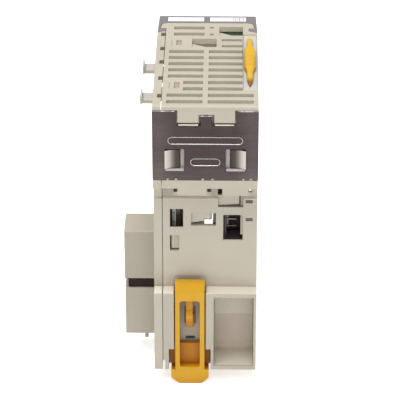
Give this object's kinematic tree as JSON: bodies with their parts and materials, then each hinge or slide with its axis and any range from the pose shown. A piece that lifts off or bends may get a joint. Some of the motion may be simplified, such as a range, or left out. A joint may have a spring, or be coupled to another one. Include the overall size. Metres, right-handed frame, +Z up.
{
  "type": "plc module",
  "caption": "Slim rail-mounted controller I/O module with vented case, steel rear plate, yellow rail latch and lock sliders, side bus plug and removable screw terminal block.",
  "frame": {"origin": "middle of the flat face that rests on the rail", "axes": "+X towards the side with the bus plug, +Y out of the rear face towards the rail and wall, +Z up"},
  "size_m": [0.0405, 0.0889, 0.097],
  "materials": {
    "case_beige": "moulded, light grain",
    "connector_beige": "moulded, fine grain",
    "bezel_grey": "moulded, fine grain",
    "plate_steel": "rolled, darkened",
    "latch_yellow": "moulded, semi-gloss",
    "part_black": "moulded",
    "board_green": "solder mask",
    "label_white": "coated card",
    "nylon_white": "nylon",
    "can_grey": "sleeved can",
    "smoke_window": "smoked, polished",
    "contact_plated": "nickel plated",
    "terminal_grey": "moulded"
  },
  "bodies": {
    "root": {"main_case": "case_beige", "side_cover": "case_beige", "front_bezel": "bezel_grey", "label_strip_left": "label_white", "label_strip_right": "label_white", "indicator_window": "smoke_window", "rear_plate": "plate_steel", "bus_plug_upper": "connector_beige", "bus_plug_lower": "connector_beige", "bus_plug_insulator": "part_black", "bus_pins_upper": "contact_plated", "bus_pins_lower": "contact_plated", "main_board": "board_green", "io_board": "board_green", "indicator_board": "board_green", "light_guide": "smoke_window", "rear_connector": "part_black", "connector_pins": "contact_plated", "board_clip": "nylon_white", "capacitor": "can_grey", "small_capacitor": "can_grey", "board_spacer": "nylon_white", "power_coil": "part_black", "logic_chip": "part_black", "photocoupler_1": "part_black", "photocoupler_2": "part_black", "photocoupler_3": "part_black", "photocoupler_4": "part_black", "terminal_base": "part_black", "lever_pin": "contact_plated", "bus_socket": "part_black"},
    "rail_latch": {"din_latch": "latch_yellow"},
    "upper_lock": {"top_slider": "latch_yellow"},
    "lower_lock": {"bottom_slider": "latch_yellow"},
    "wiring_block": {"terminal_block": "terminal_grey", "terminal_screw_a1": "contact_plated", "terminal_screw_a2": "contact_plated", "terminal_screw_a3": "contact_plated", "terminal_screw_a4": "contact_plated", "terminal_screw_a5": "contact_plated", "terminal_screw_a6": "contact_plated", "terminal_screw_a7": "contact_plated", "terminal_screw_a8": "contact_plated", "terminal_screw_a9": "contact_plated", "terminal_screw_b1": "contact_plated", "terminal_screw_b2": "contact_plated", "terminal_screw_b3": "contact_plated", "terminal_screw_b4": "contact_plated", "terminal_screw_b5": "contact_plated", "terminal_screw_b6": "contact_plated", "terminal_screw_b7": "contact_plated", "terminal_screw_b8": "contact_plated", "terminal_screw_b9": "contact_plated"},
    "lever": {"release_lever": "bezel_grey"}
  },
  "joints": [
    {"name": "latch_slide", "type": "slide", "parent": "root", "child": "rail_latch", "axis": [0, 0, -1], "range_m": [0, 0.004]},
    {"name": "upper_lock_slide", "type": "slide", "parent": "root", "child": "upper_lock", "axis": [0, 1, 0], "range_m": [-0.003, 0.002]},
    {"name": "lower_lock_slide", "type": "slide", "parent": "root", "child": "lower_lock", "axis": [0, 1, 0], "range_m": [-0.003, 0.002]},
    {"name": "wiring_block_pull", "type": "slide", "parent": "root", "child": "wiring_block", "axis": [0, -1, 0], "range_m": [0, 0.006]},
    {"name": "lever_turn", "type": "hinge", "parent": "root", "child": "lever", "pos_m": [-0.0115, -0.0626, 0.02], "axis": [0, 0, -1], "range_deg": [0, 100]}
  ]
}
